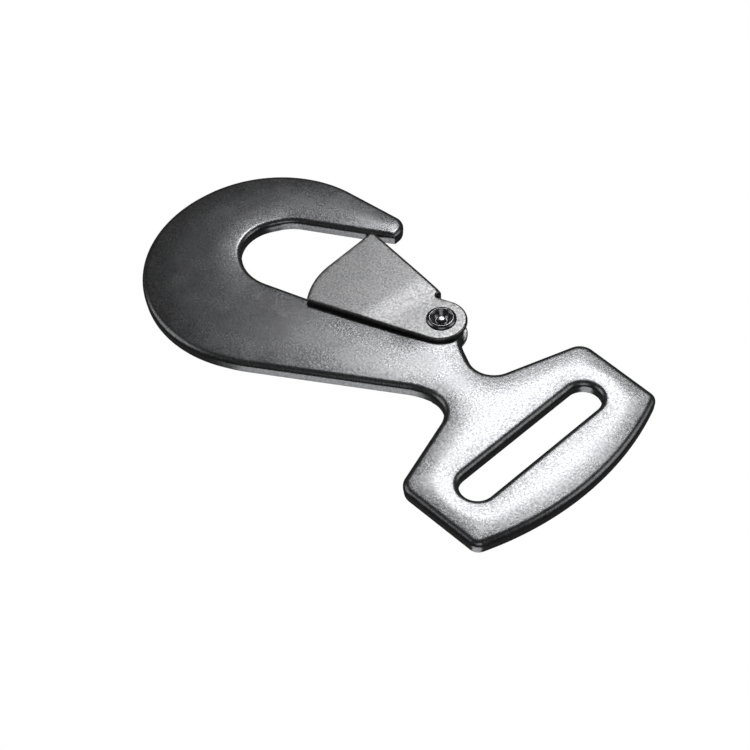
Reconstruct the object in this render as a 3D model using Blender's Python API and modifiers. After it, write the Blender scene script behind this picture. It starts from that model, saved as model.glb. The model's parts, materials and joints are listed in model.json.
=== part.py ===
"""Flat snap hook for 50 mm webbing, with a folded spring keeper on a rivet.

Built in metres, +Z up, lying on its side with the webbing end toward +X and the mouth of the hook
toward +Y. The origin is below the middle of the object, level with its lowest point.
All places are first given from the datum: the middle of the webbing slot, on the plate's upper face.
"""
import math

import bmesh
import bpy
from mathutils import Matrix, Vector

MM = 0.001

# ---------------------------------------------------------------- driving dimensions
WEBBING = 50 * MM                     # nominal webbing width
SLOT_LENGTH = WEBBING + 2 * MM
SLOT_WIDTH = 10 * MM
PLATE_THICK = 4.5 * MM
PLATE_EDGE = 1.0 * MM                 # rounding of the plate's edges
SHEET = 1.2 * MM                      # keeper's sheet thickness
FLANGE_GAP = 0.5 * MM                 # from plate to keeper flange
EAR_GAP = 0.25 * MM                   # from plate to keeper ear, pinched in by the rivet
RIVET_RADIUS = 2.5 * MM
RIVET_HEAD_RADIUS = 4.5 * MM
RIVET_RIM = 0.9 * MM                  # height of the rolled rim over the ear
RIVET_HEAD = 1.1 * MM                 # height of the factory head under the lower ear
WIRE = 1.0 * MM                       # spring wire
FIT = 0.3 * MM                        # gap between faces that touch on the real object

PIVOT = Vector((-48.2 * MM, 13.1 * MM))          # keeper's axis, from the datum
LOBE = Vector((-47.5 * MM, 12.5 * MM))           # middle of the lobe that carries it
LOBE_RADIUS = 6.5 * MM
EAR_RADIUS = 7.6 * MM
RIVET_HOLE = RIVET_RADIUS + FIT
COIL_RADIUS = 3.4 * MM                           # spring's mean radius
COIL_PITCH = WIRE + 0.15 * MM
POCKET_RADIUS = COIL_RADIUS + WIRE / 2 + 0.4 * MM
POCKET_DEPTH = 2.7 * MM
WINDOW_PAST_LOBE = 3.0 * MM           # the moving leg's window runs this far past the lobe
WINDOW_BELOW = 3.0 * MM
WINDOW_ABOVE = COIL_RADIUS + 1.9 * MM
GROOVE_LENGTH = 11.0 * MM             # the fixed leg's groove
GROOVE_HALF_WIDTH = 0.9 * MM
FIXED_LEG_ALONG = 8.0 * MM            # the fixed leg's tip, along the shank's edge
MOVING_LEG_REACH = 18.0 * MM          # the moving leg's tip, along the spine

END_HALF_IN = 36.36 * MM              # half width of the webbing end at its shoulders
END_HALF_OUT = 35.86 * MM             # half width at its outer corners
END_IN_X = -14.44 * MM
END_OUT_X = 13.97 * MM
END_BULGE = 7.28 * MM                 # how far the outer edge bows past its corners
END_CORNER = 3.5 * MM                 # radius of the outer corners
END_SHOULDER = 5.0 * MM               # radius of the shoulders
SHOULDER_SHARE = 0.73                 # a shoulder's centre is this share of its radius past END_IN_X

FLAT_ERROR = 0.035 * MM               # how far an arc's chords may stray from the arc
LEFT, RIGHT = 1, -1                   # the way an outline turns round a circle


# ---------------------------------------------------------------- outlines
def tangent(start, end):
    """Where the straight line that touches two circles leaves the first and meets the second.

    A circle is (x, y, radius, side) in metres. An outline that turns LEFT round a circle has the
    circle's centre on its left.
    """
    x1, y1, r1, s1 = start
    x2, y2, r2, s2 = end
    gap = Vector((x2 - x1, y2 - y1))
    along = gap.normalized()
    across = Vector((-along.y, along.x))
    sine = max(-1.0, min(1.0, (s2 * r2 - s1 * r1) / gap.length))
    ahead = math.sqrt(1 - sine * sine) * along - sine * across
    normal = Vector((-ahead.y, ahead.x))
    leave = Vector((x1, y1)) - s1 * r1 * normal
    meet = Vector((x2, y2)) - s2 * r2 * normal
    return leave, meet, ahead


def belt(circles):
    """Closed outline that runs round the circles in turn, like a belt round pulleys."""
    count = len(circles)
    lines = [tangent(circles[i], circles[(i + 1) % count]) for i in range(count)]
    points = []
    for i, (x, y, radius, side) in enumerate(circles):
        _, arrive, heading_in = lines[i - 1]
        _, _, heading_out = lines[i]
        turn = math.atan2(heading_in.cross(heading_out), heading_in.dot(heading_out))
        if side * turn < -math.pi / 2:
            turn += side * 2 * math.pi    # a half turn, taken the wrong way round
        if radius == 0:
            points.append(Vector((x, y)))
            continue
        step = 2 * math.acos(1 - min(FLAT_ERROR / radius, 0.25))
        pieces = max(1, math.ceil(abs(turn) / step))
        start = math.atan2(arrive.y - y, arrive.x - x)
        for k in range(pieces + 1):
            angle = start + turn * k / pieces
            points.append(Vector((x + radius * math.cos(angle), y + radius * math.sin(angle))))
    return points


def circles_mm(rows):
    """The same circles in metres."""
    return [(x * MM, y * MM, r * MM, side) for x, y, r, side in rows]


NOSE = circles_mm([
    (-85.0, 29.0, 1.05, LEFT),            # inner corner of the nose
    (-89.2, 29.8, 5.2, LEFT),             # round end of the nose
])
THROAT = circles_mm([
    (-57.6, 6.9, 5.0, RIGHT),             # fillet from the lobe to the shank
    (-102.4, 1.9, 14.7, RIGHT),
    (-105.1, -0.1, 11.55, RIGHT),
    (-102.7, 1.7, 12.8, RIGHT),
])


def plate_outline():
    """Outline of the hook plate, run with the steel on its left, from the nose back to the nose."""
    outer_radius = (END_HALF_OUT ** 2 + END_BULGE ** 2) / (2 * END_BULGE)
    outer_centre = END_OUT_X + END_BULGE - outer_radius
    corner_y = END_HALF_OUT - END_CORNER
    corner_x = outer_centre + math.sqrt((outer_radius - END_CORNER) ** 2 - corner_y ** 2)
    shoulder_x = END_IN_X + SHOULDER_SHARE * END_SHOULDER
    shoulder_y = END_HALF_IN - END_SHOULDER
    bow = circles_mm([
        (-103.6, -4.6, 37.4, LEFT),
        (-101.4, -5.6, 39.7, LEFT),
        (-104.4, 4.1, 49.7, LEFT),
    ])
    lower_neck = circles_mm([(-26.3, -28.3, 21.0, RIGHT), (-29.2, -15.3, 7.5, RIGHT)])
    webbing_end = [
        (shoulder_x, -shoulder_y, END_SHOULDER, LEFT),
        (corner_x, -corner_y, END_CORNER, LEFT),
        (outer_centre, 0.0, outer_radius, LEFT),
        (corner_x, corner_y, END_CORNER, LEFT),
        (shoulder_x, shoulder_y, END_SHOULDER, LEFT),
    ]
    upper_neck = circles_mm([(-29.2, 15.3, 7.4, RIGHT), (-31.2, 21.3, 12.0, RIGHT)])
    lobe = [(LOBE.x, LOBE.y, LOBE_RADIUS, LEFT)]
    return belt(NOSE + bow + lower_neck + webbing_end + upper_neck + lobe + THROAT)


def slot_outline():
    """Webbing slot: two half circles joined by straight sides."""
    radius = SLOT_WIDTH / 2
    reach = SLOT_LENGTH / 2 - radius
    return belt([(0.0, -reach, radius, LEFT), (0.0, reach, radius, LEFT)])


# The keeper's spine, seen from above, is a straight strip: its outer face runs from SPINE_TIP to SPINE_END.
SPINE_TIP = Vector((-88.96 * MM, 24.17 * MM))
SPINE_END = Vector((-56.16 * MM, 21.17 * MM))
NOTCH_RADIUS = 0.95 * MM
TAB_INSET = 0.1 * MM                  # the spine's tab is this much thinner on each face
TAB_REACH = 9.0 * MM                  # how far the uncut tab runs past the spine's tip
TAB_ROOT = 3.0 * MM                   # and how far back into the spine


def keeper_outline():
    """Outline of the keeper's flanges, from the tip down the free edge and back along the spine."""
    tip = [(SPINE_TIP.x, SPINE_TIP.y, 0.0, LEFT)]
    free_edge = circles_mm([(-64.06, 6.32, 23.7, LEFT), (-81.56, -8.18, 1.0, LEFT)])
    ear = [
        (PIVOT.x - 0.56 * MM, PIVOT.y - 0.22 * MM, EAR_RADIUS + 0.6 * MM, LEFT),
        (PIVOT.x, PIVOT.y, EAR_RADIUS, LEFT),
    ]
    notch = [(SPINE_END.x + 0.75 * MM, SPINE_END.y - 1.75 * MM, NOTCH_RADIUS, RIGHT)]
    end = [(SPINE_END.x, SPINE_END.y, 0.0, LEFT)]
    return belt(tip + free_edge + ear + notch + end)


# ---------------------------------------------------------------- frame
OUTLINE = plate_outline()
LOW = Vector((min(p.x for p in OUTLINE), min(p.y for p in OUTLINE)))
HIGH = Vector((max(p.x for p in OUTLINE), max(p.y for p in OUTLINE)))
BELOW = PLATE_THICK + EAR_GAP + SHEET + RIVET_HEAD
DATUM = Vector((-(LOW.x + HIGH.x) / 2, -(LOW.y + HIGH.y) / 2, BELOW))

EAR_TOP = EAR_GAP + SHEET             # heights over the datum; the underside mirrors them
FLANGE_TOP = FLANGE_GAP + SHEET
PAST = 1.0 * MM                       # how far a cutter runs past what it cuts

SPINE_ALONG = (SPINE_END - SPINE_TIP).normalized()
SPINE_TURN = math.atan2(SPINE_ALONG.y, SPINE_ALONG.x)
SPINE_ACROSS = Vector((-SPINE_ALONG.y, SPINE_ALONG.x))
SPINE_OUTSIDE = (SPINE_END - PIVOT).dot(SPINE_ACROSS)     # spine's faces, measured from the pivot
SPINE_INSIDE = SPINE_OUTSIDE - SHEET


# ---------------------------------------------------------------- building tools
def clear_scene():
    for obj in list(bpy.data.objects):
        bpy.data.objects.remove(obj, do_unlink=True)


def collection(name):
    made = bpy.data.collections.new(name)
    bpy.context.scene.collection.children.link(made)
    return made


def flat_curve(name, outlines, half_height, into):
    """A filled 2D curve, extruded half_height each way from its own plane."""
    data = bpy.data.curves.new(name, "CURVE")
    data.dimensions = "2D"
    data.fill_mode = "BOTH"
    data.extrude = half_height
    for points in outlines:
        spline = data.splines.new("POLY")
        spline.points.add(len(points) - 1)
        for slot, point in zip(spline.points, points):
            slot.co = (point.x, point.y, 0.0, 1.0)
        spline.use_cyclic_u = True
    obj = bpy.data.objects.new(name, data)
    into.objects.link(obj)
    return obj


def curve_to_mesh(obj, into):
    """Replace a curve object by a welded mesh object of the same name and place."""
    bpy.context.view_layer.update()
    seen = obj.evaluated_get(bpy.context.evaluated_depsgraph_get())
    mesh = bpy.data.meshes.new_from_object(seen)
    name, place = obj.name, obj.matrix_world.copy()
    bpy.data.objects.remove(obj, do_unlink=True)
    weld(mesh)
    made = bpy.data.objects.new(name, mesh)
    made.matrix_world = place
    into.objects.link(made)
    return made


def weld(mesh):
    work = bmesh.new()
    work.from_mesh(mesh)
    bmesh.ops.remove_doubles(work, verts=work.verts, dist=0.000005)
    bmesh.ops.recalc_face_normals(work, faces=work.faces)
    work.to_mesh(mesh)
    work.free()


def prism(name, outlines, low, high, into):
    """A solid of the outlines between two heights above the datum."""
    curve = flat_curve(name, outlines, (high - low) / 2, into)
    curve.location = DATUM + Vector((0.0, 0.0, (low + high) / 2))
    return curve_to_mesh(curve, into)


def cylinder(name, centre, radius, low, high, into, sides=48):
    """An upright cylinder between two heights above the datum."""
    bpy.ops.mesh.primitive_cylinder_add(vertices=sides, radius=radius, depth=high - low)
    obj = bpy.context.object
    obj.name = name
    obj.location = DATUM + Vector((centre.x, centre.y, (low + high) / 2))
    move_to(obj, into)
    return obj


def block(name, low, high, into, about, turn=0.0):
    """A box between two corners, given from a point of the plan, and turned about that point.

    Heights are over the datum.
    """
    bpy.ops.mesh.primitive_cube_add(size=1.0)
    obj = bpy.context.object
    obj.name = name
    size = high - low
    centre = (high + low) / 2
    obj.data.transform(Matrix.Diagonal((*size, 1.0)))
    obj.data.transform(Matrix.Translation(centre))
    obj.matrix_world = Matrix.Translation(DATUM + about.to_3d()) @ Matrix.Rotation(turn, 4, "Z")
    move_to(obj, into)
    return obj


def move_to(obj, into):
    for home in list(obj.users_collection):
        home.objects.unlink(obj)
    into.objects.link(obj)


def cutter(obj):
    obj.hide_render = True
    obj.display_type = "WIRE"
    return obj


def boolean(target, tool, operation="DIFFERENCE"):
    mod = target.modifiers.new(tool.name, "BOOLEAN")
    mod.operation = operation
    mod.solver = "EXACT"
    mod.object = tool
    return mod


def steel(name, colour, roughness):
    """Bare or blackened steel."""
    made = bpy.data.materials.new(name)
    made.use_nodes = True
    shader = made.node_tree.nodes["Principled BSDF"]
    shader.inputs["Base Color"].default_value = (*colour, 1.0)
    shader.inputs["Metallic"].default_value = 0.9
    shader.inputs["Roughness"].default_value = roughness
    made.diffuse_color = (*colour, 1.0)
    return made


def finish(obj, material, angle=math.radians(32)):
    obj.data.materials.append(material)
    obj.data.shade_smooth()
    obj.data.set_sharp_from_angle(angle=angle)


# ---------------------------------------------------------------- the pieces
def make_hook_plate(parts, cutters):
    """The plate: its outline with the slot, rounded edges, the rivet hole and the spring's pocket."""
    plate = prism("hook_plate", [OUTLINE, slot_outline()], -PLATE_THICK, 0.0, parts)
    edge = plate.modifiers.new("rounded_edges", "BEVEL")
    edge.width = PLATE_EDGE
    edge.segments = 2
    edge.limit_method = "ANGLE"
    edge.angle_limit = math.radians(60)
    under = -PLATE_THICK - PAST
    roof = -PLATE_THICK + POCKET_DEPTH
    fixed_start, fixed_tip = spring_leg(fixed_leg_tip(), below=True)
    heading = fixed_tip - fixed_start
    tools = [
        cylinder("cut_rivet_hole", PIVOT, RIVET_HOLE, under, PAST, cutters),
        cylinder("cut_spring_pocket", PIVOT, POCKET_RADIUS, under, roof, cutters),
        block(
            "cut_moving_leg_window",
            Vector((-LOBE_RADIUS - WINDOW_PAST_LOBE, -WINDOW_BELOW, under)),
            Vector((0.0, WINDOW_ABOVE, roof)),
            cutters, PIVOT,
        ),
        block(
            "cut_fixed_leg_groove",
            Vector((0.0, -GROOVE_HALF_WIDTH, under)),
            Vector((GROOVE_LENGTH, GROOVE_HALF_WIDTH, roof)),
            cutters, PIVOT + fixed_start, math.atan2(heading.y, heading.x),
        ),
    ]
    for tool in tools:
        boolean(plate, cutter(tool))
    finish(plate, steel("blackened_steel", (0.055, 0.056, 0.06), 0.42))
    return plate


def make_keeper(parts, cutters):
    """The keeper: its outline as a block, opened from the inside to a U and pinched in at the ears."""
    under = -PLATE_THICK
    keeper = prism("keeper", [keeper_outline()], under - FLANGE_TOP, FLANGE_TOP, parts)
    reach = 60 * MM                   # further than any part of the keeper is from the pivot
    ear_line = (SPINE_END - PIVOT).dot(SPINE_ALONG) + 0.3 * MM
    tip = (SPINE_TIP - PIVOT).dot(SPINE_ALONG)

    tab = block(
        "add_tab",
        Vector((tip - TAB_REACH, SPINE_INSIDE + TAB_INSET, under + FIT)),
        Vector((tip + TAB_ROOT, SPINE_OUTSIDE - TAB_INSET, -FIT)),
        cutters, PIVOT, SPINE_TURN,
    )
    nose_from, nose_to, nose_along = tangent(THROAT[-1], NOSE[0])
    # the nose's steel is on the left of its inner edge as that edge is run toward the nose
    beyond_nose = block(
        "cut_tab_end",
        Vector((-reach, -FIT, under - PAST)),
        Vector((reach, reach / 2, PAST)),
        cutters, nose_to, math.atan2(nose_along.y, nose_along.x),
    )
    tools = [
        block(
            "cut_between_flanges",
            Vector((-reach, -reach, under - FLANGE_GAP)),
            Vector((ear_line, SPINE_INSIDE, FLANGE_GAP)),
            cutters, PIVOT, SPINE_TURN,
        ),
        block(
            "cut_between_ears",
            Vector((ear_line - PAST, -reach, under - EAR_GAP)),
            Vector((reach, SPINE_INSIDE + reach, EAR_GAP)),
            cutters, PIVOT, SPINE_TURN,
        ),
        block(
            "cut_over_upper_ear",
            Vector((ear_line, -reach, EAR_TOP)),
            Vector((reach, reach, FLANGE_TOP + PAST)),
            cutters, PIVOT, SPINE_TURN,
        ),
        block(
            "cut_under_lower_ear",
            Vector((ear_line, -reach, under - FLANGE_TOP - PAST)),
            Vector((reach, reach, under - EAR_TOP)),
            cutters, PIVOT, SPINE_TURN,
        ),
        cylinder("cut_ear_holes", PIVOT, RIVET_HOLE, under - FLANGE_TOP - PAST, FLANGE_TOP + PAST, cutters),
    ]
    for tool in tools:
        boolean(keeper, cutter(tool))
    boolean(cutter(tab), cutter(beyond_nose))
    boolean(keeper, tab, "UNION")
    finish(keeper, steel("keeper_steel", (0.16, 0.16, 0.165), 0.5))
    return keeper


def make_rivet(parts):
    """The rivet: a turned profile with a rolled rim and a small pip above, and a low head below."""
    seat = EAR_TOP + FIT / 2
    rim = EAR_TOP + RIVET_RIM
    under_seat = -PLATE_THICK - EAR_TOP - FIT / 2
    bottom = -BELOW
    head = RIVET_HEAD_RADIUS
    profile = [
        (0.0, rim - 0.6 * MM),
        (1.1 * MM, rim - 0.7 * MM),
        (1.4 * MM, rim - 1.5 * MM),
        (2.0 * MM, rim - 1.6 * MM),
        (2.3 * MM, rim - 1.0 * MM),
        (2.7 * MM, rim - 0.5 * MM),
        (3.2 * MM, rim - 0.15 * MM),
        (3.7 * MM, rim),
        (4.2 * MM, rim - 0.15 * MM),
        (head, rim - 0.5 * MM),
        (head - 0.1 * MM, seat),
        (RIVET_RADIUS, seat),
        (RIVET_RADIUS, under_seat),
        (head, under_seat),
        (head, bottom + 0.5 * MM),
        (head - 0.8 * MM, bottom),
        (0.0, bottom),
    ]
    data = bpy.data.meshes.new("pivot_rivet")
    corners = [(radius, 0.0, height) for radius, height in profile]
    data.from_pydata(corners, [(i, i + 1) for i in range(len(corners) - 1)], [])
    rivet = bpy.data.objects.new("pivot_rivet", data)
    rivet.location = DATUM + PIVOT.to_3d()
    parts.objects.link(rivet)
    turned = rivet.modifiers.new("turned", "SCREW")
    turned.steps = 40
    turned.render_steps = 40
    turned.use_merge_vertices = True
    turned.merge_threshold = 0.00001
    finish(rivet, steel("rivet_steel", (0.2, 0.2, 0.205), 0.3))
    return rivet


def fixed_leg_tip():
    """Where the spring's fixed leg ends, over the shank's edge, from the pivot."""
    edge_from, _, along = tangent(THROAT[0], THROAT[1])
    off_edge = Vector((along.y, -along.x)) * (WIRE / 2 + FIT)
    return edge_from + FIXED_LEG_ALONG * along + off_edge - PIVOT


def moving_leg_tip():
    """Where the spring's moving leg ends, under the keeper's spine, from the pivot."""
    return -MOVING_LEG_REACH * SPINE_ALONG + (SPINE_INSIDE - WIRE / 2 - FIT) * SPINE_ACROSS


def spring_leg(tip, below):
    """Start and end of a straight leg that leaves the coil along its tangent, from the pivot."""
    swing = math.acos(COIL_RADIUS / tip.length)
    angle = math.atan2(tip.y, tip.x) + (swing if below else -swing)
    return COIL_RADIUS * Vector((math.cos(angle), math.sin(angle))), tip


def make_spring(parts):
    """The torsion spring: fixed leg, one and a half turns round the rivet, moving leg."""
    fixed_start, fixed_tip = spring_leg(fixed_leg_tip(), below=True)
    moving_start, moving_tip = spring_leg(moving_leg_tip(), below=False)
    start = math.atan2(fixed_start.y, fixed_start.x)
    end = math.atan2(moving_start.y, moving_start.x)
    while end < start:
        end += 2 * math.pi
    end += 2 * math.pi                # one whole turn more than the legs alone need
    top = -PLATE_THICK + POCKET_DEPTH - FIT - WIRE / 2
    drop = COIL_PITCH * (end - start) / (2 * math.pi)
    points = [(*fixed_tip, top)]
    pieces = 36
    for k in range(pieces + 1):
        angle = start + (end - start) * k / pieces
        place = COIL_RADIUS * Vector((math.cos(angle), math.sin(angle)))
        points.append((*place, top - drop * k / pieces))
    points.append((*moving_tip, top - drop))
    data = bpy.data.curves.new("keeper_spring", "CURVE")
    data.dimensions = "3D"
    data.bevel_depth = WIRE / 2
    data.bevel_resolution = 2
    data.use_fill_caps = True
    wire = data.splines.new("POLY")
    wire.points.add(len(points) - 1)
    for slot, point in zip(wire.points, points):
        slot.co = (*point, 1.0)
    spring = bpy.data.objects.new("keeper_spring", data)
    spring.location = DATUM + PIVOT.to_3d()
    parts.objects.link(spring)
    data.materials.append(steel("spring_steel", (0.3, 0.3, 0.31), 0.3))
    return spring


def build():
    clear_scene()
    parts = collection("flat_snap_hook")
    cutters = collection("cutters")
    make_hook_plate(parts, cutters)
    make_keeper(parts, cutters)
    make_rivet(parts)
    make_spring(parts)


build()
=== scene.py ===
"""Looks of a flat snap hook for 50 mm webbing: forged plate, folded keeper, rivet and spring."""
import json
import math

import bpy
import numpy as np
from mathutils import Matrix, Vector, geometry


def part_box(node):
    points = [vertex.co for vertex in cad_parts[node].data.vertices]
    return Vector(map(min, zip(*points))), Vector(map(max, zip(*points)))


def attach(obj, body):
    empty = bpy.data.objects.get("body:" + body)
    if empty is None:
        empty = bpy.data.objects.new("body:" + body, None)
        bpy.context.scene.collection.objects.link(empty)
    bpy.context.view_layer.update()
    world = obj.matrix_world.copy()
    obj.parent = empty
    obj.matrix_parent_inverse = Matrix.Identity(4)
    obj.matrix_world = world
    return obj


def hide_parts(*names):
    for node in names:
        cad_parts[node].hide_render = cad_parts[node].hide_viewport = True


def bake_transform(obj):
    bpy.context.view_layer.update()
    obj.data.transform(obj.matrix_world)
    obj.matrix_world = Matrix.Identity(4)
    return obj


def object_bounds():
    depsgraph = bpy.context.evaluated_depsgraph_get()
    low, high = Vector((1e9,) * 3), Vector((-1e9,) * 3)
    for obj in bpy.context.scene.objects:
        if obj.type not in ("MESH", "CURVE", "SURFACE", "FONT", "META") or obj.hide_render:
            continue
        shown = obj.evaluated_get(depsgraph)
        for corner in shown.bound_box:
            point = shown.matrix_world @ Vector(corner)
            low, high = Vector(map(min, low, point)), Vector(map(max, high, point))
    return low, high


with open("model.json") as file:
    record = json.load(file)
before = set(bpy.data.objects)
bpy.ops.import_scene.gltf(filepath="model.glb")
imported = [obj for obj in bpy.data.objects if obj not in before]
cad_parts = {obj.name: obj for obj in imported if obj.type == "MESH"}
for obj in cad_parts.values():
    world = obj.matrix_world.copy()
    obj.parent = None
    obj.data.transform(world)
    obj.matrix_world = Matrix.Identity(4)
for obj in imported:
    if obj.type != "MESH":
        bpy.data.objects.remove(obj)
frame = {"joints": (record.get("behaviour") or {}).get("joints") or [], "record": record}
cad_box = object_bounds()


# ---------------------------------------------------------------- camera, floor and light
# A long lens looks down on the hook from beyond its webbing end. The floor is plain white and can be
# seen through from below. One soft light stands behind the hook, where the webbing end mirrors it, and
# four weak, wide ones stand round and below it for the other sides.
camera_data = bpy.data.cameras.new("camera")
camera_data.lens = 78.358
camera_data.sensor_width = 36.0
camera_data.clip_end = 20.0
camera = bpy.data.objects.new("camera", camera_data)
camera.location = (0.243924, -0.203252, 0.355973)
camera.rotation_euler = [math.radians(a) for a in (40.750, 2.721, 46.921)]
bpy.context.scene.collection.objects.link(camera)
bpy.context.scene.camera = camera

bpy.context.scene.view_settings.view_transform = "Standard"


def one_sided_glow(name):
    """A plain white material that glows from its front and lets the view through from its back."""
    made = bpy.data.materials.new(name)
    made.use_nodes = True
    nodes = made.node_tree.nodes
    nodes.clear()
    side = nodes.new("ShaderNodeNewGeometry")
    light = nodes.new("ShaderNodeEmission")
    clear = nodes.new("ShaderNodeBsdfTransparent")
    mix = nodes.new("ShaderNodeMixShader")
    out = nodes.new("ShaderNodeOutputMaterial")
    made.node_tree.links.new(side.outputs["Backfacing"], mix.inputs["Fac"])
    made.node_tree.links.new(light.outputs["Emission"], mix.inputs[1])
    made.node_tree.links.new(clear.outputs["BSDF"], mix.inputs[2])
    made.node_tree.links.new(mix.outputs["Shader"], out.inputs["Surface"])
    return made


floor_mesh = bpy.data.meshes.new("floor")
floor_half = 6.0
floor_z = cad_box[0][2] - 0.0005                   # half a millimetre below the hook
floor_mesh.from_pydata(
    [(x * floor_half, y * floor_half, floor_z) for x, y in ((-1, -1), (1, -1), (1, 1), (-1, 1))],
    [], [(0, 1, 2, 3)],
)
floor = bpy.data.objects.new("floor", floor_mesh)
bpy.context.scene.collection.objects.link(floor)
floor_mesh.materials.append(one_sided_glow("floor_white"))
floor.visible_glossy = False
floor.visible_diffuse = False
floor.visible_shadow = False

# the camera sees a white background, and the steel mirrors a nearly dark room
world = bpy.data.worlds.new("studio")
bpy.context.scene.world = world
world.use_nodes = True
world_nodes = world.node_tree.nodes
world_nodes.clear()
seen = world_nodes.new("ShaderNodeBackground")
seen.inputs["Color"].default_value = (1.0, 1.0, 1.0, 1.0)
room = world_nodes.new("ShaderNodeBackground")
room.inputs["Color"].default_value = (1.0, 1.0, 1.0, 1.0)
room.inputs["Strength"].default_value = 0.05
which = world_nodes.new("ShaderNodeLightPath")
choose = world_nodes.new("ShaderNodeMixShader")
world_out = world_nodes.new("ShaderNodeOutputWorld")
world.node_tree.links.new(which.outputs["Is Camera Ray"], choose.inputs["Fac"])
world.node_tree.links.new(room.outputs["Background"], choose.inputs[1])
world.node_tree.links.new(seen.outputs["Background"], choose.inputs[2])
world.node_tree.links.new(choose.outputs["Shader"], world_out.inputs["Surface"])


def softbox(name, place, size, power):
    """A square light at a place, facing the origin."""
    data = bpy.data.lights.new(name, "AREA")
    data.shape = "SQUARE"
    data.size = size
    data.energy = power
    lamp = bpy.data.objects.new(name, data)
    lamp.location = place
    lamp.rotation_euler = (-Vector(place)).to_track_quat("-Z", "Y").to_euler()
    bpy.context.scene.collection.objects.link(lamp)


softbox("key_behind", (-0.456, 0.594, 1.004), 0.30, 4.6)
softbox("fill_near", (0.75, -0.63, 0.90), 0.80, 2.5)
softbox("fill_left", (-0.85, -0.62, 0.80), 0.80, 3.0)
softbox("fill_right", (0.75, 0.75, 0.80), 0.80, 3.0)
softbox("fill_below", (0.30, -0.50, -1.00), 0.80, 4.0)


# ---------------------------------------------------------------- hook plate
# One forged and trimmed plate of steel, 4.5 mm thick: bowl, nose, shank, lobe, neck and webbing end.
# Its upper edge rolls over softly, its wall is straight with a faint trimming line, and it is blackened.
MM = 0.001
bar = frame["record"]["mounts"][0]["pos_m"]
plate_low, plate_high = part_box("hook_plate")
slot_half = 5.0 * MM
datum = np.array([bar[0] - slot_half, bar[1], plate_high[2]])     # slot's middle, on the upper face
plate_thick = plate_high[2] - plate_low[2]
hinge = frame["joints"][0]
pivot = np.array(hinge["pos_m"][:2]) - datum[:2]
LEFT, RIGHT = 1, -1


def belt(circles, spacing):
    """Closed outline that runs round circles (x, y, radius, side) like a belt round pulleys.

    Two circles are joined by the line that touches both: with the centres a vector g apart, its heading
    is cos(a) g/|g| - sin(a) (g/|g| turned left), where sin(a) = (side2 radius2 - side1 radius1) / |g|.
    Returns the points and their outward normals, a spacing apart on lines and closer on small arcs.
    """
    rows = np.array(circles, float)
    nexts = np.roll(rows, -1, axis=0)
    gap = nexts[:, :2] - rows[:, :2]
    length = np.hypot(gap[:, 0], gap[:, 1])[:, None]
    along = gap / length
    across = np.stack([-along[:, 1], along[:, 0]], axis=1)
    turn_in = (rows[:, 3] * rows[:, 2])[:, None]
    turn_out = (nexts[:, 3] * nexts[:, 2])[:, None]
    sine = np.clip((turn_out - turn_in) / length, -1.0, 1.0)
    heading = np.sqrt(1 - sine ** 2) * along - sine * across
    normal = np.stack([heading[:, 1], -heading[:, 0]], axis=1)
    leave = rows[:, :2] + turn_in * normal
    meet = nexts[:, :2] + turn_out * normal
    points, normals = [], []
    for i, (x, y, radius, turning) in enumerate(rows):
        start = math.atan2(normal[i - 1][1], normal[i - 1][0])
        end = math.atan2(normal[i][1], normal[i][0])
        sweep = (end - start + math.pi) % (2 * math.pi) - math.pi
        if turning * sweep < -math.pi / 2:
            sweep += turning * 2 * math.pi
        pieces = max(2, math.ceil(abs(sweep) * max(radius, 0.5 * MM) / spacing), math.ceil(abs(sweep) / 0.12))
        angles = start + sweep * np.linspace(0.0, 1.0, pieces + 1)
        out = np.stack([np.cos(angles), np.sin(angles)], axis=1)
        points.append(np.array([x, y]) + turning * radius * out)
        normals.append(out)
        run = math.dist(leave[i], meet[i])
        steps = int(run / spacing)
        if steps > 1:
            share = np.linspace(0.0, 1.0, steps + 1)[1:-1, None]
            points.append(leave[i] + share * (meet[i] - leave[i]))
            normals.append(np.repeat(normal[i][None], len(share), axis=0))
    points, normals = np.concatenate(points), np.concatenate(normals)
    apart = np.linalg.norm(points - np.roll(points, 1, axis=0), axis=1) > 0.02 * MM
    return points[apart], normals[apart]


def in_mm(rows):
    """Circles (x, y, radius, side) given in millimetres."""
    return [(x * MM, y * MM, r * MM, turning) for x, y, r, turning in rows]


end_half_in, end_half_out = 36.36 * MM, 35.86 * MM
end_in_x, end_out_x, end_bulge = -14.44 * MM, 13.97 * MM, 7.28 * MM
corner_r, shoulder_r = 3.5 * MM, 5.0 * MM
outer_r = (end_half_out ** 2 + end_bulge ** 2) / (2 * end_bulge)
outer_x = end_out_x + end_bulge - outer_r
corner_y = end_half_out - corner_r
corner_x = outer_x + math.sqrt((outer_r - corner_r) ** 2 - corner_y ** 2)
shoulder_x, shoulder_y = end_in_x + 0.73 * shoulder_r, end_half_in - shoulder_r
nose_and_bow = in_mm([
    (-85.0, 29.0, 1.05, LEFT), (-89.2, 29.8, 5.2, LEFT),
    (-103.6, -4.6, 37.4, LEFT), (-101.4, -5.6, 39.7, LEFT), (-104.4, 4.1, 49.7, LEFT),
])
lower_neck = in_mm([(-26.3, -28.3, 21.0, RIGHT), (-29.2, -15.3, 7.5, RIGHT)])
webbing_end = [
    (shoulder_x, -shoulder_y, shoulder_r, LEFT), (corner_x, -corner_y, corner_r, LEFT),
    (outer_x, 0.0, outer_r, LEFT),
    (corner_x, corner_y, corner_r, LEFT), (shoulder_x, shoulder_y, shoulder_r, LEFT),
]
upper_neck = in_mm([(-29.2, 15.3, 7.4, RIGHT), (-31.2, 21.3, 12.0, RIGHT)])
lobe = in_mm([(-47.5, 12.5, 6.5, LEFT)])
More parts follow.
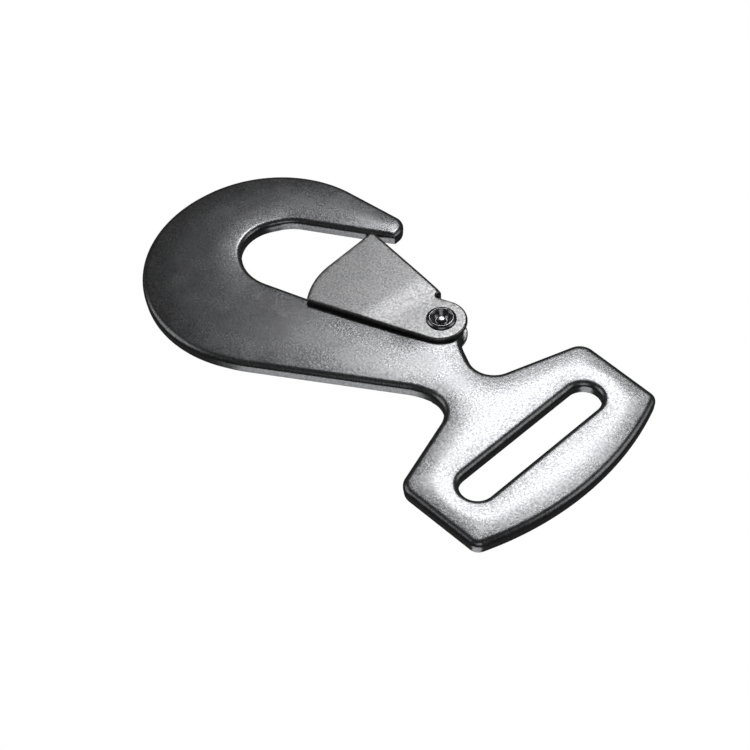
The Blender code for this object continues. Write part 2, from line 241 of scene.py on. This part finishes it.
throat = in_mm([
    (-57.6, 6.9, 5.0, RIGHT), (-102.4, 1.9, 14.7, RIGHT),
    (-105.1, -0.1, 11.55, RIGHT), (-102.7, 1.7, 12.8, RIGHT),
])
plate_edge = belt(nose_and_bow + lower_neck + webbing_end + upper_neck + lobe + throat, 0.8 * MM)
slot_reach = 26.0 * MM - slot_half
slot_edge = belt([(0.0, -slot_reach, slot_half, LEFT), (0.0, slot_reach, slot_half, LEFT)], 0.8 * MM)
slot_edge = (slot_edge[0][::-1], -slot_edge[1][::-1])             # a hole is run the other way round


def inside(outline, points):
    """True for the points within a closed outline: a ray toward +X crosses it an odd number of times."""
    x1, y1 = outline[:, 0][:, None], outline[:, 1][:, None]
    x2, y2 = np.roll(x1, -1, axis=0), np.roll(y1, -1, axis=0)
    px, py = points[:, 0][None], points[:, 1][None]
    spans = (y1 > py) != (y2 > py)
    rise = np.where(y2 == y1, 1.0, y2 - y1)
    crossing = px < x1 + (x2 - x1) * (py - y1) / rise
    return (spans & crossing).sum(axis=0) % 2 == 1


def away(outline, points):
    """Each point's distance from a closed outline."""
    a, b = outline, np.roll(outline, -1, axis=0)
    d = b - a
    square = np.maximum((d ** 2).sum(axis=1), 1e-18)
    nearest = np.full(len(points), np.inf)
    for part in np.array_split(np.arange(len(points)), max(1, len(points) // 2000)):
        w = points[part][:, None] - a[None]
        share = np.clip((w * d[None]).sum(axis=2) / square, 0.0, 1.0)
        gap = w - share[..., None] * d[None]
        nearest[part] = np.sqrt((gap ** 2).sum(axis=2).min(axis=1))
    return nearest


def staggered(rim, spacing):
    """Points over a rim's own rectangle, in rows of which every other one is shifted half a step."""
    low, high = rim.min(axis=0), rim.max(axis=0)
    xs = np.arange(low[0], high[0], spacing)
    ys = np.arange(low[1], high[1], spacing * 0.866)
    gx, gy = np.meshgrid(xs, ys)
    gx = gx + (np.arange(len(ys)) % 2)[:, None] * spacing / 2
    return np.stack([gx.ravel(), gy.ravel()], axis=1)


def face_mesh(rims, inner, clear):
    """Fills the flat region between closed rims with triangles, which turn left.

    The rims' own points come first. Those of the inner points that lie in the region follow, if they
    are at least clear from every rim.
    """
    keep = inside(rims[0], inner)
    for rim in rims[1:]:
        keep &= ~inside(rim, inner)
    inner = inner[keep]
    for rim in rims:
        inner = inner[away(rim, inner) > clear]
    points = np.concatenate([*rims, inner])
    edges, first = [], 0
    for rim in rims:
        count = len(rim)
        edges += [(first + k, first + (k + 1) % count) for k in range(count)]
        first += count
    corners = [Vector(q) for q in (points / MM).tolist()]
    made = geometry.delaunay_2d_cdt(corners, edges, [], 1, 1e-6)      # 1: all that lies in the first rim
    if len(made[0]) != len(points):
        raise ValueError("two points of a face coincide")
    triangles = np.array(made[2])
    # nothing but its own rim's points lies in a hole, which is convex
    owners = np.repeat(np.arange(len(rims) + 1), [*(len(rim) for rim in rims), len(inner)])[triangles]
    in_hole = (np.ptp(owners, axis=1) == 0) & (owners[:, 0] > 0) & (owners[:, 0] < len(rims))
    return points, triangles[~in_hole]


def strip(first, second, count):
    """Faces between two closed rings of count points, whose numbers start at first and second."""
    k = np.arange(count)
    n = (k + 1) % count
    return np.stack([first + k, second + k, second + n, first + n], axis=1)


def new_piece(name, points, faces, sharp=None):
    """A smooth-shaded mesh object from an array of points and lists of faces, at the origin."""
    mesh = bpy.data.meshes.new(name)
    mesh.from_pydata(points.tolist(), [], [f for group in faces for f in group.tolist()])
    mesh.validate()
    mesh.shade_smooth()
    if sharp is not None:
        mesh.set_sharp_from_angle(angle=math.radians(sharp))
    made = bpy.data.objects.new(name, mesh)
    bpy.context.scene.collection.objects.link(made)
    return made


roll_wide, roll_deep = 1.7 * MM, 1.15 * MM         # how the upper edge rolls over
crown_wide, crown_deep = 10.0 * MM, 0.42 * MM      # and how the face bends down toward it
under_wide, under_deep = 0.8 * MM, 0.6 * MM        # the lower edge
rim_inset, low_inset = 0.9 * MM, 0.75 * MM         # where the rings end and the filled faces start
draft = 0.15 * MM                                  # the wall leans in by this much at its foot
trim = 0.02 * MM                                   # taken off all round by finishing


def roll(inset, wide, deep):
    """Depth below the face of a quarter ellipse: deep (1 - sqrt(1 - (1 - inset / wide)^2))."""
    share = 1.0 - np.clip(inset / wide, 0.0, 1.0)
    return deep * (1.0 - np.sqrt(np.maximum(0.0, 1.0 - share ** 2)))


def over_edge(inset):
    """The roll of the upper edge and, added to it, the wide crown: crown_deep (1 - inset / wide)^2."""
    crown = crown_deep * np.clip(1.0 - inset / crown_wide, 0.0, 1.0) ** 2
    return roll(inset, roll_wide, roll_deep) + crown


def soft_away(outlines, points):
    """Distance from the outlines without a crease where two edges are equally near.

    It is (sum of length / distance^8, over 0.98175) to the power -1/7, which is the true distance
    beside a straight edge and smaller where several edges are near. 0.98175 is 5 pi / 16, which the sum
    comes to at a distance of 1 from a long straight edge.
    """
    total = np.zeros(len(points))
    for outline in outlines:
        ahead, behind = np.roll(outline, -1, axis=0), np.roll(outline, 1, axis=0)
        length = np.linalg.norm(ahead - behind, axis=1) / 2
        for part in np.array_split(np.arange(len(points)), max(1, len(points) // 2000)):
            gap = points[part][:, None] - outline[None]
            square = (gap ** 2).sum(axis=2)
            total[part] += (length[None] / square ** 4).sum(axis=1)
    return (total / 0.98175) ** (-1 / 7)


def plate_mesh():
    """The plate as edge rings carried round each outline, closed by an upper and a lower face.

    A ring is the outline moved in by an inset, at the height that the edge's profile has there.
    """
    profile = [(q, -over_edge(q)) for q in rim_inset * np.linspace(1.0, 0.0, 10) ** 2]
    profile += [(0.0, -2.1 * MM), (0.06 * MM, -2.25 * MM), (0.10 * MM, -3.2 * MM)]
    profile += [
        (q + draft, -plate_thick + roll(q, under_wide, under_deep))
        for q in low_inset * np.linspace(0.0, 1.0, 6) ** 2
    ]
    points, faces, first = [], [], 0
    top_rims, low_rims, top_first, low_first = [], [], [], []
    for outline, normals in (plate_edge, slot_edge):
        count = len(outline)
        for k, (inset, height) in enumerate(profile):
            ring = outline - (inset + trim) * normals
            points.append(np.column_stack([ring, np.full(count, height)]))
            if k:
                faces.append(strip(first + (k - 1) * count, first + k * count, count))
        top_rims.append(points[-len(profile)][:, :2])
        low_rims.append(points[-1][:, :2])
        top_first.append(first)
        low_first.append(first + (len(profile) - 1) * count)
        first += len(profile) * count
    outlines = (plate_edge[0], slot_edge[0])
    inner = staggered(top_rims[0], 1.0 * MM)
    inner = inner[np.minimum(away(outlines[0], inner), away(outlines[1], inner)) > 2.5 * MM]
    for q in np.array([1.2, 1.5, 1.8, 2.2]) * MM:
        row = np.concatenate([outline - (q + trim) * normals for outline, normals in (plate_edge, slot_edge)])
        near = np.minimum(away(outlines[0], row), away(outlines[1], row))
        inner = np.concatenate([inner, row[near > q]])
    for rims, starts, up in ((top_rims, top_first, True), (low_rims, low_first, False)):
        corners, triangles = face_mesh(rims, inner, 0.2 * MM)
        known = sum(len(rim) for rim in rims)
        numbers = np.concatenate([s + np.arange(len(rim)) for s, rim in zip(starts, rims)])
        extra = corners[known:]
        inset = np.minimum(away(outlines[0], extra), away(outlines[1], extra))
        if up:
            share = np.clip((inset - rim_inset) / (1.2 * MM), 0.0, 1.0)
            inset = inset + (soft_away(outlines, extra) - inset) * share
            height = -over_edge(inset)
        else:
            height = -plate_thick + roll(inset - draft, under_wide, under_deep)
            triangles = triangles[:, ::-1]
        points.append(np.column_stack([extra, height]))
        numbers = np.concatenate([numbers, first + np.arange(len(extra))])
        first += len(extra)
        faces.append(numbers[triangles])
    return np.concatenate(points) + datum, faces


def upright(outline, low, high):
    """A solid that stands on a closed outline, between two heights over the plate's face."""
    count = len(outline)
    rings = [np.column_stack([outline, np.full(count, z)]) for z in (low, high)]
    ends = [np.arange(count)[None, ::-1], count + np.arange(count)[None]]
    return np.concatenate(rings), [strip(count, 0, count), *ends]


def disc(radius, count):
    """A circle's outline as count points, about the origin."""
    turn = np.linspace(0.0, 2 * math.pi, count, endpoint=False)
    return radius * np.column_stack([np.cos(turn), np.sin(turn)])


def bar_outline(start, way, length, half):
    """A rectangle of some half width round a line that leaves start along the unit vector way."""
    left = half * np.array([-way[1], way[0]])
    end = start + length * way
    return np.array([start - left, end - left, end + left, start + left])


def carve(piece, solids):
    """Cuts upright solids, (outline, low, high), out of a piece, and gives it the result as its mesh."""
    for outline, low, high in solids:
        points, faces = upright(outline, low, high)
        tool = new_piece("tool", points + datum, faces)
        cut = piece.modifiers.new("cut", "BOOLEAN")
        cut.object, cut.solver = tool, "MANIFOLD"
        seen = piece.evaluated_get(bpy.context.evaluated_depsgraph_get())
        mesh = bpy.data.meshes.new_from_object(seen)
        mesh.materials.clear()
        piece.modifiers.clear()
        piece.data = mesh
        bpy.data.objects.remove(tool)
    piece.data.set_sharp_from_angle(angle=math.radians(50))


# the spring's legs leave its coil on lines that touch it, so the pocket is worked out from those
wire_r, coil_r, coil_pitch, pocket_deep = 0.5 * MM, 3.4 * MM, 1.15 * MM, 2.7 * MM
fit, ear_hole = 0.3 * MM, 2.8 * MM                 # gap between parts; radius of the rivet's holes
overrun = 1.0 * MM                                 # how far a cut starts outside the plate
coil_room = 0.4 * MM                               # round the coil
fixed_reach, moving_reach = 8.0 * MM, 18.0 * MM    # of the legs, along the edges that they press
groove_long, groove_half = 11.0 * MM, 0.9 * MM     # for the fixed leg
window_long, window_half, window_mid = 9.5 * MM, 4.15 * MM, 1.15 * MM     # for the moving leg


def unit(v):
    """The vector at a length of 1."""
    return v / np.linalg.norm(v)


def touches(tip, sign):
    """Angle at which the line from a leg's tip touches the coil."""
    return math.atan2(tip[1], tip[0]) + sign * math.acos(coil_r / np.linalg.norm(tip))


lobe_row, bowl_row = np.array(throat[0]), np.array(throat[1])
gap = bowl_row[:2] - lobe_row[:2]
lean = (lobe_row[2] - bowl_row[2]) / np.linalg.norm(gap)
edge_way = math.sqrt(1 - lean ** 2) * unit(gap) - lean * np.array([-unit(gap)[1], unit(gap)[0]])
edge_out = np.array([edge_way[1], -edge_way[0]])
edge_start = lobe_row[:2] - lobe_row[2] * edge_out
fixed_tip = edge_start + fixed_reach * edge_way + (wire_r + fit) * edge_out - pivot
coil_from = touches(fixed_tip, 1)
fixed_root = coil_r * np.array([math.cos(coil_from), math.sin(coil_from)])

plate = new_piece("plate", *plate_mesh())
window_start, window_way = np.array([0.0, window_mid]), np.array([-1.0, 0.0])
pocket = (-plate_thick - overrun, -plate_thick + pocket_deep)
carve(plate, [
    (pivot + disc(ear_hole, 48), -plate_thick - overrun, overrun),
    (pivot + disc(coil_r + wire_r + coil_room, 64), *pocket),
    (pivot + bar_outline(window_start, window_way, window_long, window_half), *pocket),
    (pivot + bar_outline(fixed_root, unit(fixed_tip - fixed_root), groove_long, groove_half), *pocket),
])
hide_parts("hook_plate")
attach(plate, "hook")


def tree(name):
    """A new material, its Principled shader, and functions that add a node and a link."""
    made = bpy.data.materials.new(name)
    made.use_nodes = True
    nodes, links = made.node_tree.nodes, made.node_tree.links
    shader = nodes["Principled BSDF"]

    def add(kind, **values):
        node = nodes.new(kind)
        for key, value in values.items():
            if key in node.inputs:
                node.inputs[key].default_value = value
            else:
                setattr(node, key, value)
        return node

    return made, shader, add, links.new


def grained_steel(name, dark, light, roughness, metallic, grain=1.0):
    """Steel with a fine blasted grain in its colour and height, over faint clouds in its colour and gloss."""
    made, shader, add, link = tree(name)
    place = add("ShaderNodeTexCoord").outputs["Object"]
    fine = add("ShaderNodeTexNoise", Scale=1700.0, Detail=2.0, Roughness=0.6)
    cloud = add("ShaderNodeTexNoise", Scale=110.0, Detail=5.0, Roughness=0.6)
    link(place, fine.inputs["Vector"])
    link(place, cloud.inputs["Vector"])
    blend = add("ShaderNodeMath", operation="MULTIPLY_ADD")
    link(cloud.outputs["Fac"], blend.inputs[0])
    blend.inputs[1].default_value = 0.25
    link(fine.outputs["Fac"], blend.inputs[2])
    colour = add("ShaderNodeValToRGB")
    colour.color_ramp.elements[0].position = 0.40
    colour.color_ramp.elements[0].color = (*dark, 1.0)
    colour.color_ramp.elements[1].position = 0.85
    colour.color_ramp.elements[1].color = (*light, 1.0)
    link(blend.outputs["Value"], colour.inputs["Fac"])
    link(colour.outputs["Color"], shader.inputs["Base Color"])
    rough = add("ShaderNodeMapRange")
    rough.inputs["From Min"].default_value = 0.3
    rough.inputs["From Max"].default_value = 0.7
    rough.inputs["To Min"].default_value = roughness - 0.02
    rough.inputs["To Max"].default_value = roughness + 0.02
    link(cloud.outputs["Fac"], rough.inputs["Value"])
    link(rough.outputs["Result"], shader.inputs["Roughness"])
    bump = add("ShaderNodeBump", Strength=0.3 * grain, Distance=0.00006)
    link(fine.outputs["Fac"], bump.inputs["Height"])
    link(bump.outputs["Normal"], shader.inputs["Normal"])
    shader.inputs["Metallic"].default_value = metallic
    return made


plate.data.materials.append(
    grained_steel("blackened_plate", (0.07, 0.071, 0.074), (0.20, 0.202, 0.208), 0.27, 0.9))


# ---------------------------------------------------------------- keeper
# The spring keeper: steel sheet 1.2 mm thick, cut out and folded into a U that straddles the plate, and
# pinched in at its two ears, which the rivet pierces. A tab on its spine rests on the nose.
sheet = 1.2 * MM
fold = 1.4 * MM                                    # outer radius of the fold
inner_fold = 0.3 * MM
flange_top, ear_top = 1.7 * MM, 1.45 * MM          # heights over the plate
spine_tip, spine_end = np.array([-88.96, 24.17]) * MM, np.array([-56.16, 21.17]) * MM
along = (spine_end - spine_tip) / np.linalg.norm(spine_end - spine_tip)
across = np.array([-along[1], along[0]])
spine_out = (spine_end - pivot) @ across           # the spine's outer face, from the pivot
tip_a, end_a = (spine_tip - pivot) @ along, (spine_end - pivot) @ along
web_half = flange_top + plate_thick / 2            # half the keeper's height
web_flat = web_half - fold
flange_from = web_flat + fold * math.pi / 2        # where the flange starts on the unfolded sheet
notch_a = end_a + 0.75 * MM                        # middle of the relief notch at the spine's end
pinch_from, pinch_to = end_a - 9.0 * MM, end_a + 1.0 * MM


def unfold(a, b):
    """Place on the unfolded sheet: arc length round the fold, straight on the flange and past the notch."""
    bend = np.arcsin(np.clip((b - spine_out) / fold + 1.0, 0.0, 1.0))
    return np.where((b > spine_out - fold) & (a < notch_a), web_flat + fold * (math.pi / 2 - bend),
                    flange_from + spine_out - fold - b)


def outer_section(a, s):
    """Plan place and height of the sheet's outer face: web, quarter circle, flange; all flat at the ears."""
    reach = np.abs(s)
    bend = np.where(a < notch_a, np.clip((reach - web_flat) / fold, 0.0, math.pi / 2), math.pi / 2)
    past = np.where(a < notch_a, np.maximum(0.0, reach - flange_from), reach - flange_from)
    b = spine_out - fold * (1 - np.cos(bend)) - past
    z = np.minimum(np.where(a < notch_a, reach, web_flat), web_flat) + fold * np.sin(bend)
    return b, np.sign(s) * z


def inner_section(a, s):
    """The same for its inner face, whose tight corner takes up a stretch of 2.5 mm on either side."""
    reach, span = np.abs(s), 2.5 * MM
    starts, ends = web_half - span, flange_from + span - fold
    leg = span - sheet - inner_fold
    run = (reach - starts) / (ends - starts) * (2 * leg + inner_fold * math.pi / 2)
    bend = np.clip((run - leg) / inner_fold, 0.0, math.pi / 2)
    b = spine_out - sheet - inner_fold * (1 - np.cos(bend))
    b = b - np.maximum(0.0, run - leg - inner_fold * math.pi / 2)
    z = starts + np.clip(run, 0.0, leg) + inner_fold * np.sin(bend)
    outer_b, _ = outer_section(a, s)
    flat = (reach > ends) | (a >= notch_a)
    b = np.where(flat, outer_b, np.where(reach < starts, spine_out - sheet, b))
    z = np.where(flat, web_half - sheet, np.where(reach < starts, reach, z))
    return b, np.sign(s) * z


def tab_reach(b):
    """Where the spine's tab meets the nose: the first place along it nearer than the fit."""
    tries = tip_a - np.linspace(0.2, 12.0, 237) * MM
    places = pivot + tries[:, None] * along + b * across
    near = away(plate_edge[0], places) < fit
    return tries[np.argmax(near | inside(plate_edge[0], places))]


tab_out, tab_in = tab_reach(spine_out), tab_reach(spine_out - sheet)


def keeper_rims():
    """The unfolded sheet's rim and its two rivet holes, as (a, s) with a along the spine."""
    outline, _ = belt(
        [(spine_tip[0], spine_tip[1], 0.0, LEFT)]
        + in_mm([(-64.06, 6.32, 23.7, LEFT), (-81.56, -8.18, 1.0, LEFT)])
        + [(pivot[0] - 0.56 * MM, pivot[1] - 0.22 * MM, 8.2 * MM, LEFT), (*pivot, 7.6 * MM, LEFT)]
        + [(spine_end[0] + 0.75 * MM, spine_end[1] - 1.75 * MM, 0.95 * MM, RIGHT)]
        + [(spine_end[0], spine_end[1], 0.0, LEFT)],
        0.6 * MM,
    )
    first = np.argmin(np.linalg.norm(outline - spine_tip, axis=1))
    outline = np.roll(outline, -first, axis=0)
    last = np.argmin(np.linalg.norm(outline - spine_end, axis=1))
    plan = outline[:last + 1] - pivot
    flange = np.column_stack([plan @ along, unfold(plan @ along, plan @ across)])
    tab_half = plate_thick / 2 - fit
    tab_side = np.array([[tip_a, tab_half], [tab_out, tab_half]])
    tip_side = np.column_stack([np.full(3, tip_a), np.linspace(web_flat, tab_half, 5)[1:-1]])
    tab_end = np.column_stack([np.full(5, tab_out), np.linspace(tab_half, -tab_half, 7)[1:-1]])
    web_end = np.column_stack([np.full(11, end_a), np.linspace(-web_flat, web_flat, 13)[1:-1]])
    mirror = np.array([1.0, -1.0])
    rim = np.concatenate([
        flange[::-1], tip_side, tab_side, tab_end, tab_side[::-1] * mirror, tip_side[::-1] * mirror,
        flange * mirror, web_end,
    ])
    turn = np.linspace(0.0, 2 * math.pi, 48, endpoint=False)[::-1]
    centre = flange_from + spine_out - fold
    hole = np.column_stack([ear_hole * np.cos(turn), centre + ear_hole * np.sin(turn)])
    return rim, hole, hole[::-1] * mirror


def rim_normals(rim):
    """Outward normals of a polygon's corners: the mean of its two sides', longer where it turns."""
    side = np.roll(rim, -1, axis=0) - rim
    side /= np.linalg.norm(side, axis=1)[:, None]
    out = np.column_stack([side[:, 1], -side[:, 0]])
    both = out + np.roll(out, 1, axis=0)
    return both / np.maximum((both ** 2).sum(axis=1)[:, None] / 2, 0.6)


def folded(flat, depth):
    """The folded sheet: a depth of 0 is its outer face, 1 its inner one, and between them a mean.

    The ears are pinched toward the plate by a smooth step of the place along the spine.
    """
    a, s = flat[:, 0], flat[:, 1]
    b_out, z_out = outer_section(a, s)
    b_in, z_in = inner_section(a, s)
    stretch = (tab_in - tip_a) / (tab_out - tip_a)
    a_in = np.where((a < tip_a) & (np.abs(s) < plate_thick / 2), tip_a + (a - tip_a) * stretch, a)
    a = a + depth * (a_in - a)
    b = b_out + depth * (b_in - b_out)
    z = z_out + depth * (z_in - z_out)
    step = np.clip((a - pinch_from) / (pinch_to - pinch_from), 0.0, 1.0)
    step = step * step * (3 - 2 * step)
    hold = np.clip(np.abs(z) / (web_half - sheet), 0.0, 1.0)
    z = z - np.sign(z) * hold * step * (flange_top - ear_top)
    plan = pivot + a[:, None] * along + b[:, None] * across
    return np.column_stack([plan, z - plate_thick / 2])


def keeper_mesh():
    """Both faces of the folded sheet, joined round each rim by rings that round its edges."""
    rings = [
        (0.62, 0.0), (0.42, 0.03), (0.24, 0.11), (0.10, 0.24), (0.02, 0.42), (0.0, 0.55), (0.0, 0.85),
        (0.05, 0.95), (0.2, 1.0),
    ]
    rows = np.concatenate([
        np.linspace(-web_flat, web_flat, 9), web_flat + np.linspace(0.0, 1.0, 8)[1:] * fold * math.pi / 2,
        flange_from + np.arange(0.6 * MM, 40 * MM, 0.9 * MM),
    ])
    rows = np.unique(np.concatenate([rows, -rows]).round(7))
    gx, gy = np.meshgrid(np.arange(-50 * MM, 10 * MM, 0.9 * MM), rows)
    inner = np.column_stack([gx.ravel(), gy.ravel()])
    points, faces, first = [], [], 0
    out_rims, in_rims, out_first, in_first = [], [], [], []
    for rim in keeper_rims():
        normals, count = rim_normals(rim), len(rim)
        for k, (inset, depth) in enumerate(rings):
            flat = rim - inset * MM * normals
            points.append(folded(flat, depth))
            if k:
                faces.append(strip(first + k * count, first + (k - 1) * count, count))
        out_rims.append(rim - rings[0][0] * MM * normals)
        in_rims.append(rim - rings[-1][0] * MM * normals)
        out_first.append(first)
        in_first.append(first + (len(rings) - 1) * count)
        first += len(rings) * count
    for rims, starts, depth in ((out_rims, out_first, 0.0), (in_rims, in_first, 1.0)):
        flat, triangles = face_mesh(rims, inner, 0.25 * MM)
        known = sum(len(rim) for rim in rims)
        numbers = np.concatenate([s + np.arange(len(rim)) for s, rim in zip(starts, rims)])
        numbers = np.concatenate([numbers, first + np.arange(len(flat) - known)])
        points.append(folded(flat[known:], depth))
        first += len(flat) - known
        faces.append(numbers[triangles[:, ::-1] if depth == 0.0 else triangles])
    return np.concatenate(points) + datum, faces


keeper = new_piece("keeper_sheet", *keeper_mesh())
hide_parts("keeper")
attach(keeper, "keeper")
keeper.data.materials.append(
    grained_steel("keeper_plate", (0.075, 0.075, 0.077), (0.22, 0.22, 0.222), 0.32, 0.9))


# ---------------------------------------------------------------- pivot rivet
# A semi-tubular rivet. Its hollow end is rolled out over the upper ear into a bright ring round a dark
# recess, in which the setting tool has left a pip; the factory head is under the lower ear.
rivet_r = 2.5 * MM
rim_high, head_high = 0.9 * MM, 1.1 * MM


def smooth_run(corners, steps):
    """Catmull-Rom curve through the corners, steps points to a side."""
    c = np.array(corners, float)
    ends = np.concatenate([2 * c[:1] - c[1:2], c, 2 * c[-1:] - c[-2:-1]])
    p0, p1, p2, p3 = ends[:-3], ends[1:-2], ends[2:-1], ends[3:]
    t = np.linspace(0.0, 1.0, steps, endpoint=False)[None, :, None]
    p0, p1, p2, p3 = (p[:, None] for p in (p0, p1, p2, p3))
    run = p1 + 0.5 * t * (p2 - p0 + t * (2 * p0 - 5 * p1 + 4 * p2 - p3 + t * (3 * (p1 - p2) + p3 - p0)))
    return np.concatenate([run.reshape(-1, c.shape[1]), c[-1:]])


def turned(profile, sides):
    """A profile of (radius, height) rows, from pole to pole, turned about the vertical axis."""
    turn = np.linspace(0.0, 2 * math.pi, sides, endpoint=False)
    body = profile[1:-1]
    x, y = body[:, :1] * np.cos(turn), body[:, :1] * np.sin(turn)
    z = np.repeat(body[:, 1:], sides, axis=1)
    rings = np.stack([x, y, z], axis=2).reshape(-1, 3)
    points = np.concatenate([rings, [[0.0, 0.0, profile[0][1]], [0.0, 0.0, profile[-1][1]]]])
    faces = [strip(k * sides, (k + 1) * sides, sides) for k in range(len(body) - 1)]
    k = np.arange(sides)
    n, last = (k + 1) % sides, (len(body) - 1) * sides
    top, foot = np.full(sides, len(rings)), np.full(sides, len(rings) + 1)
    faces += [np.stack([top, k, n], axis=1), np.stack([foot, last + n, last + k], axis=1)]
    return points, faces


rolled = smooth_run([
    (0.0, -0.5), (0.5, -0.5), (0.95, -0.53), (1.15, -0.66), (1.25, -1.0), (1.38, -1.4), (1.65, -1.55),
    (1.95, -1.4), (2.35, -1.0), (2.7, -0.55), (3.0, -0.2), (3.3, -0.03), (3.55, -0.02), (3.9, -0.14),
    (4.25, -0.38), (4.45, -0.62), (4.42, -0.84),
], 4) * MM + [0.0, ear_top + rim_high - trim]
factory = smooth_run([(4.4, 1.05), (4.5, 0.8), (4.42, 0.4), (4.1, 0.14), (3.4, 0.03), (0.0, 0.0)], 4) * MM
factory += [0.0, -plate_thick - ear_top - head_high]
shank = np.array([(rivet_r, rolled[-1][1]), (rivet_r, factory[0][1])])
rivet_points, rivet_faces = turned(np.concatenate([rolled, shank, factory]), 72)
rivet = new_piece("rivet", rivet_points + datum + [*pivot, 0.0], rivet_faces, sharp=50)
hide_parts("pivot_rivet")
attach(rivet, "keeper")
rivet.data.materials.append(
    grained_steel("rivet_blackened", (0.08, 0.08, 0.083), (0.2, 0.2, 0.206), 0.2, 0.9, 0.4))


# ---------------------------------------------------------------- keeper spring
# A torsion spring of 1 mm wire in a pocket under the lobe: one leg lies on the shank's edge, the coil
# turns round the rivet, and the other leg presses the keeper's spine shut.
moving_tip = -moving_reach * along + (spine_out - sheet - wire_r - fit) * across
coil_to = touches(moving_tip, -1)
coil_to += 2 * math.pi * (math.ceil((coil_from - coil_to) / (2 * math.pi)) + 1)
angles = np.linspace(coil_from, coil_to, 90)
share = (angles - coil_from) / (coil_to - coil_from)
coil_top = -plate_thick + pocket_deep - fit - wire_r
coil_drop = coil_pitch * (coil_to - coil_from) / (2 * math.pi)
coil = np.column_stack([coil_r * np.cos(angles), coil_r * np.sin(angles), coil_top - coil_drop * share])
fixed_leg = np.linspace([*fixed_tip, coil_top], coil[0], 12, endpoint=False)
moving_leg = np.linspace([*moving_tip, coil_top - coil_drop], coil[-1], 24, endpoint=False)[::-1]


def tube(path, radius, sides):
    """A round wire along a path: rings square to it, in a frame whose side is square to vertical."""
    way = np.gradient(path, axis=0)
    way /= np.linalg.norm(way, axis=1)[:, None]
    out = np.cross(way, [0.0, 0.0, 1.0])
    out /= np.linalg.norm(out, axis=1)[:, None]
    up = np.cross(out, way)
    turn = np.linspace(0.0, 2 * math.pi, sides, endpoint=False)
    round_it = np.cos(turn)[None, :, None] * out[:, None] + np.sin(turn)[None, :, None] * up[:, None]
    caps = [(0, 1.0, -0.2), (0, 0.8, -0.45), (-1, 0.8, 0.45), (-1, 1.0, 0.2)]
    ends = [path[k] + radius * (wide * round_it[k] + push * way[k]) for k, wide, push in caps]
    rings = [ends[1], ends[0], *(path[:, None] + radius * round_it), ends[3], ends[2]]
    tips = [path[0] - 0.5 * radius * way[0], path[-1] + 0.5 * radius * way[-1]]
    points = np.concatenate([np.concatenate(rings), tips])
    faces = [strip(k * sides, (k + 1) * sides, sides) for k in range(len(rings) - 1)]
    k = np.arange(sides)
    n, last = (k + 1) % sides, (len(rings) - 1) * sides
    start, stop = np.full(sides, len(rings) * sides), np.full(sides, len(rings) * sides + 1)
    faces += [np.stack([start, k, n], axis=1), np.stack([stop, last + n, last + k], axis=1)]
    return points, faces


wire_points, wire_faces = tube(np.concatenate([fixed_leg, coil, moving_leg]), wire_r, 14)
spring = new_piece("spring_wire", wire_points + datum + [*pivot, 0.0], wire_faces)
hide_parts("keeper_spring")
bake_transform(spring)
spring.data.materials.append(
    grained_steel("spring_wire", (0.3, 0.3, 0.31), (0.45, 0.45, 0.46), 0.28, 1.0, 0.3))
